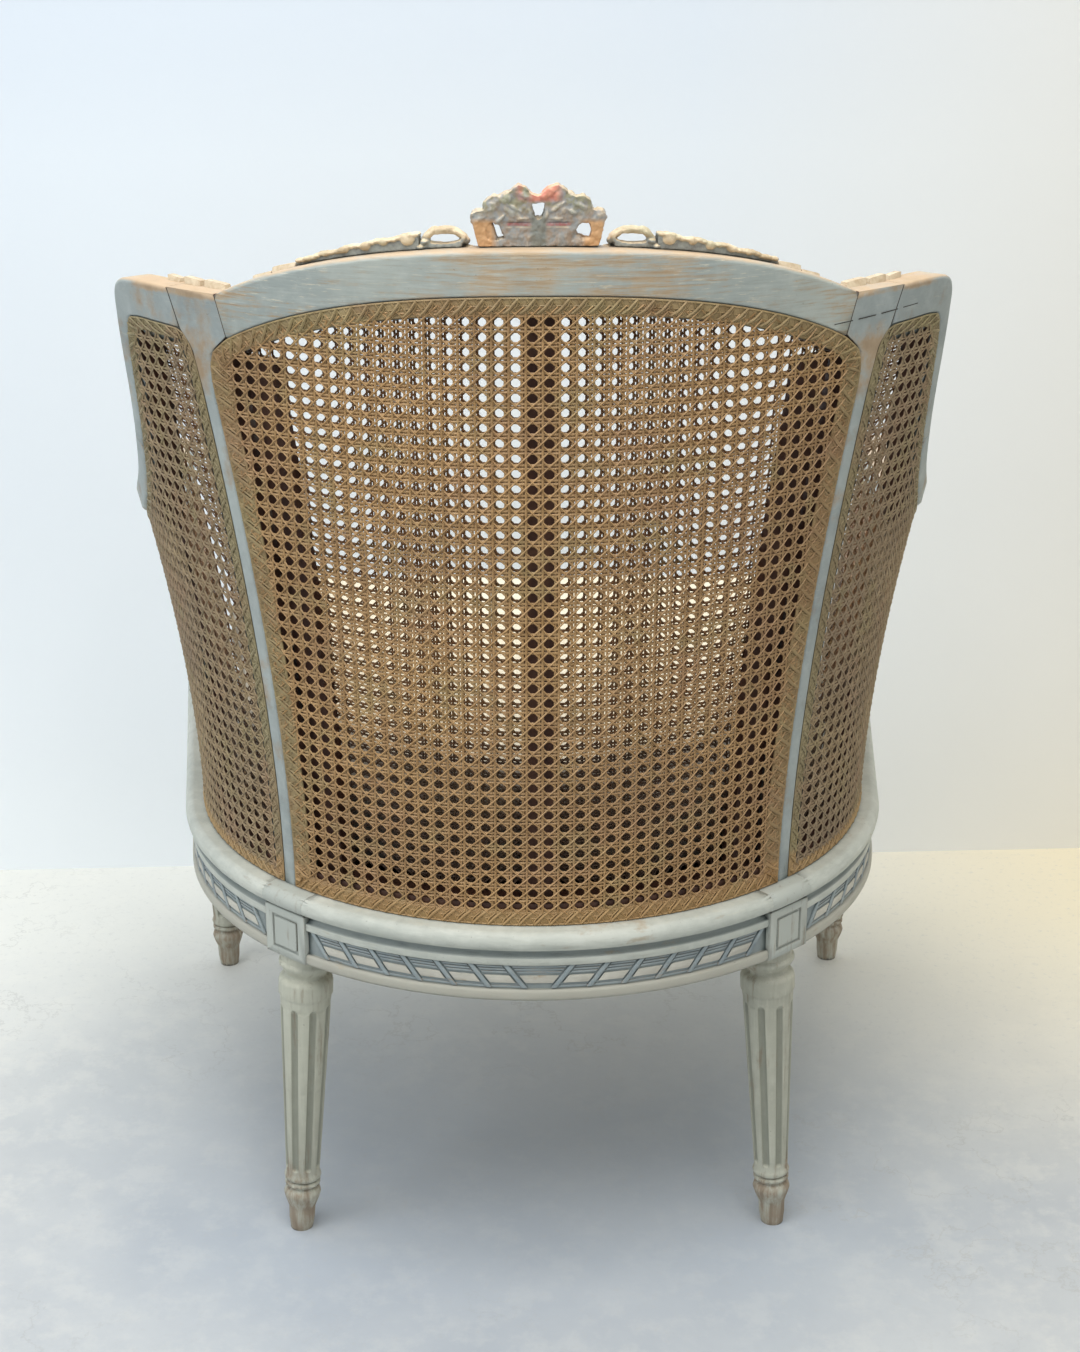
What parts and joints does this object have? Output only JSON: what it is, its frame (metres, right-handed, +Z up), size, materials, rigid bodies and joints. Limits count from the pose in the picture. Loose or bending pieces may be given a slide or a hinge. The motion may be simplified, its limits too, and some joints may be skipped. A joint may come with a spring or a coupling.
{
  "type": "duchesse brisee armchair",
  "caption": "Caned gondola armchair of a duchesse brisee, painted frame with carved crest, wings, fluted legs and a loose seat cushion.",
  "frame": {"origin": "on the floor, under the middle of the object's box", "axes": "+Z up, the chair faces -Y and its back is at +Y, +X is the sitter's left"},
  "size_m": [0.805, 0.6809, 0.9858],
  "materials": {
    "painted_wood": "worn grey-green paint over wood, satin",
    "bare_wood": "dark red-brown wood, bare",
    "cane": "aged woven cane, low sheen",
    "cushion": "cream cotton cloth, matt"
  },
  "bodies": {
    "root": {"seat_rail_back": "painted_wood", "seat_rail_left": "painted_wood", "seat_rail_right": "painted_wood", "seat_rail_front": "painted_wood", "leg_rear_left": "painted_wood", "leg_rear_right": "painted_wood", "leg_front_left": "painted_wood", "leg_front_right": "painted_wood", "joint_pegs": "bare_wood", "lower_rail_back": "bare_wood", "lower_rail_left": "bare_wood", "lower_rail_right": "bare_wood", "rear_stile_left": "painted_wood", "rear_stile_right": "painted_wood", "crest_rail": "painted_wood", "wing_left": "painted_wood", "wing_right": "painted_wood", "arm_left": "painted_wood", "arm_right": "painted_wood", "arm_support_left": "painted_wood", "arm_support_right": "painted_wood", "upright_centre": "bare_wood", "upright_left": "bare_wood", "upright_right": "bare_wood", "outer_cane_back": "cane", "outer_cane_left": "cane", "outer_cane_right": "cane", "inner_cane_back": "cane", "inner_cane_left": "cane", "inner_cane_right": "cane", "seat_cane": "cane", "seat_cushion": "cushion", "cresting_bow": "painted_wood", "cresting_loop_left": "painted_wood", "cresting_loop_right": "painted_wood", "cresting_leaf_left": "painted_wood", "cresting_leaf_right": "painted_wood"}
  },
  "joints": []
}
